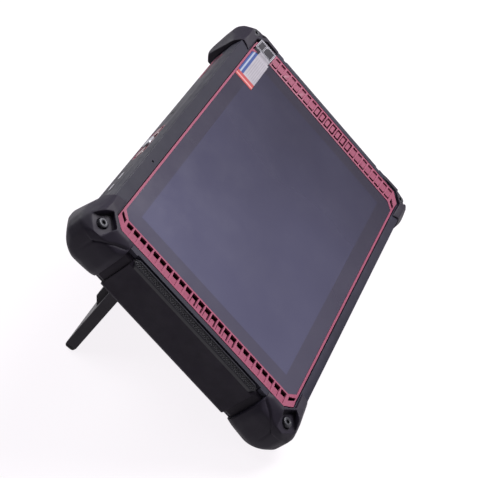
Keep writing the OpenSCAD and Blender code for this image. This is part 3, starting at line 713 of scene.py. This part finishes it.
def frame_line(x0, x1, y0, y1, width):
    """A printed outline on the tab, as a thin raised ring."""
    parts = []
    for a0, a1, b0, b1 in ((x0, x1, y0, y0 + width), (x0, x1, y1 - width, y1),
                           (x0, x0 + width, y0 + width, y1 - width),
                           (x1 - width, x1, y0 + width, y1 - width)):
        nx = max(1, int(a1 - a0))
        ny = max(1, int(b1 - b0))
        parts.append(sheet_grid(a0, a1, b0, b1, lambda x, y: tab_height(x, y) + 0.05, 0.06, nx, ny))
    return joined(parts)


label = sheet_grid(79.1, LABEL_END, 61.5, 78.5, label_height, 0.1, 60, 26)
piece("film_label_sheet", *label, "tablet", "label", slot="mark_white", replaces=["film_label"])
tab = sheet_grid(TAB_FROM, 130.8, 62.7, 79.1, tab_height, 0.18, 20, 30)
piece("film_tab_sheet", *tab, "tablet", "clear_film", replaces=["film_tab"])
paper = sheet_grid(118.12, 121.38, 62.7, 73.4, root_height, 0.12, 10, 20)
piece("film_tab_paper", *paper, "tablet", "label", slot="mark_white")
clear = sheet_grid(118.12, 121.38, 73.45, 78.4, root_height, 0.12, 10, 10)
piece("film_tab_root", *clear, "tablet", "clear_film")
outlines = [frame_line(121.5, 130.7, 62.9, 78.9, 0.5), frame_line(122.6, 129.9, 63.8, 72.2, 0.3),
            frame_line(122.6, 129.9, 72.7, 78.0, 0.3), frame_line(128.4, 129.6, 70.9, 72.1, 0.59)]
piece("film_tab_lines", *joined(outlines), "tablet", "mark_white")


# ---- materials and rounded edges for the CAD nodes that stay ----
FINISH = {entry["node"]: entry["material_slot"] for entry in frame["record"]["subparts"]}
FINISH.update(grip_left="grip_rubber", grip_right="grip_rubber", key_surround="rose_ring",
              plug_surround="rose_ring", shell_seal="rose_ring")
BEVELS = {
    "front_frame": 0.35, "rear_shell": 0.4, "trim_frame": 0.14, "grip_left": 0.5, "grip_right": 0.5,
    "stand_leg": 0.5, "key_surround": 0.2, "plug_surround": 0.2, "port_cover": 0.25, "plug_cover": 0.4,
    "power_key": 0.3, "lower_key": 0.3, "raise_key": 0.3, "cover_glass": 0.15, "camera_surround": 0.3,
    "hinge_brackets": 0.2, "shell_screws": 0.15, "mount_inserts": 0.12, "headset_socket": 0.15,
}
# these have long edges beside short ones, so their bevels keep their full width
FULL_WIDTH = ("stand_leg", "grip_left", "grip_right")
for name, obj in NODES.items():
    material = MATERIALS[FINISH[name]]
    if not obj.data.materials:
        obj.data.materials.append(material)
    for i in range(len(obj.data.materials)):
        obj.data.materials[i] = material
    if name in BEVELS:
        add_bevel(obj, BEVELS[name], clamp=name not in FULL_WIDTH)


# ---- studio ----

def studio_floor():
    half = 6.0
    mesh = bpy.data.meshes.new("studio_floor")
    corners = [(-half, -half, 0), (half, -half, 0), (half, half, 0), (-half, half, 0)]
    mesh.from_pydata(corners, [], [(0, 1, 2, 3)])
    floor = bpy.data.objects.new("studio_floor", mesh)
    floor.location.z = -0.0002
    bpy.context.scene.collection.objects.link(floor)
    paper = Shader("studio_paper", (0.1, 0.098, 0.1), 0.9, Specular_IOR_Level=0.0, Emission_Strength=0.9)
    paper.bsdf.inputs["Emission Color"].default_value = (1.0, 0.965, 1.0, 1)
    mesh.materials.append(paper.mat)


def sky():
    world = bpy.data.worlds.new("studio_world")
    world.use_nodes = True
    background = world.node_tree.nodes["Background"]
    background.inputs["Color"].default_value = (1.0, 0.99, 1.0, 1)
    background.inputs["Strength"].default_value = 0.08
    bpy.context.scene.world = world


def area_light(name, where, target, size, power, colour):
    light = bpy.data.lights.new(name, "AREA")
    light.shape = "RECTANGLE"
    light.size, light.size_y = size
    light.energy = power
    light.color = colour
    obj = bpy.data.objects.new(name, light)
    obj.location = where
    obj.rotation_euler = (Vector(target) - Vector(where)).to_track_quat("-Z", "Y").to_euler()
    bpy.context.scene.collection.objects.link(obj)


def camera():
    data = bpy.data.cameras.new("camera")
    data.sensor_width = 36
    data.lens = 105.11
    data.clip_end = 50
    right = Vector((0.33259, -0.94297, -0.01546))
    down = Vector((-0.51957, -0.16953, -0.83747))
    forward = Vector((0.78704, 0.28656, -0.54633))
    turn = Matrix((right, -down, -forward)).transposed().to_4x4()
    obj = bpy.data.objects.new("camera", data)
    obj.matrix_world = Matrix.Translation((-0.79727, -0.30579, 0.61807)) @ turn
    bpy.context.scene.collection.objects.link(obj)
    bpy.context.scene.camera = obj


studio_floor()
sky()
area_light("key", (1.05, -1.15, 1.65), (0, 0, 0.06), (1.1, 1.1), 104, (1.0, 0.99, 1.0))
area_light("rear", (0.9, 1.7, 0.9), (0, 0.05, 0.08), (1.2, 0.9), 22, (0.96, 0.97, 1.0))
area_light("top", (0.1, 0.7, 2.1), (0, 0, 0.1), (1.6, 0.9), 26, (0.95, 0.96, 1.0))
camera()
bpy.context.scene.view_settings.view_transform = "Standard"
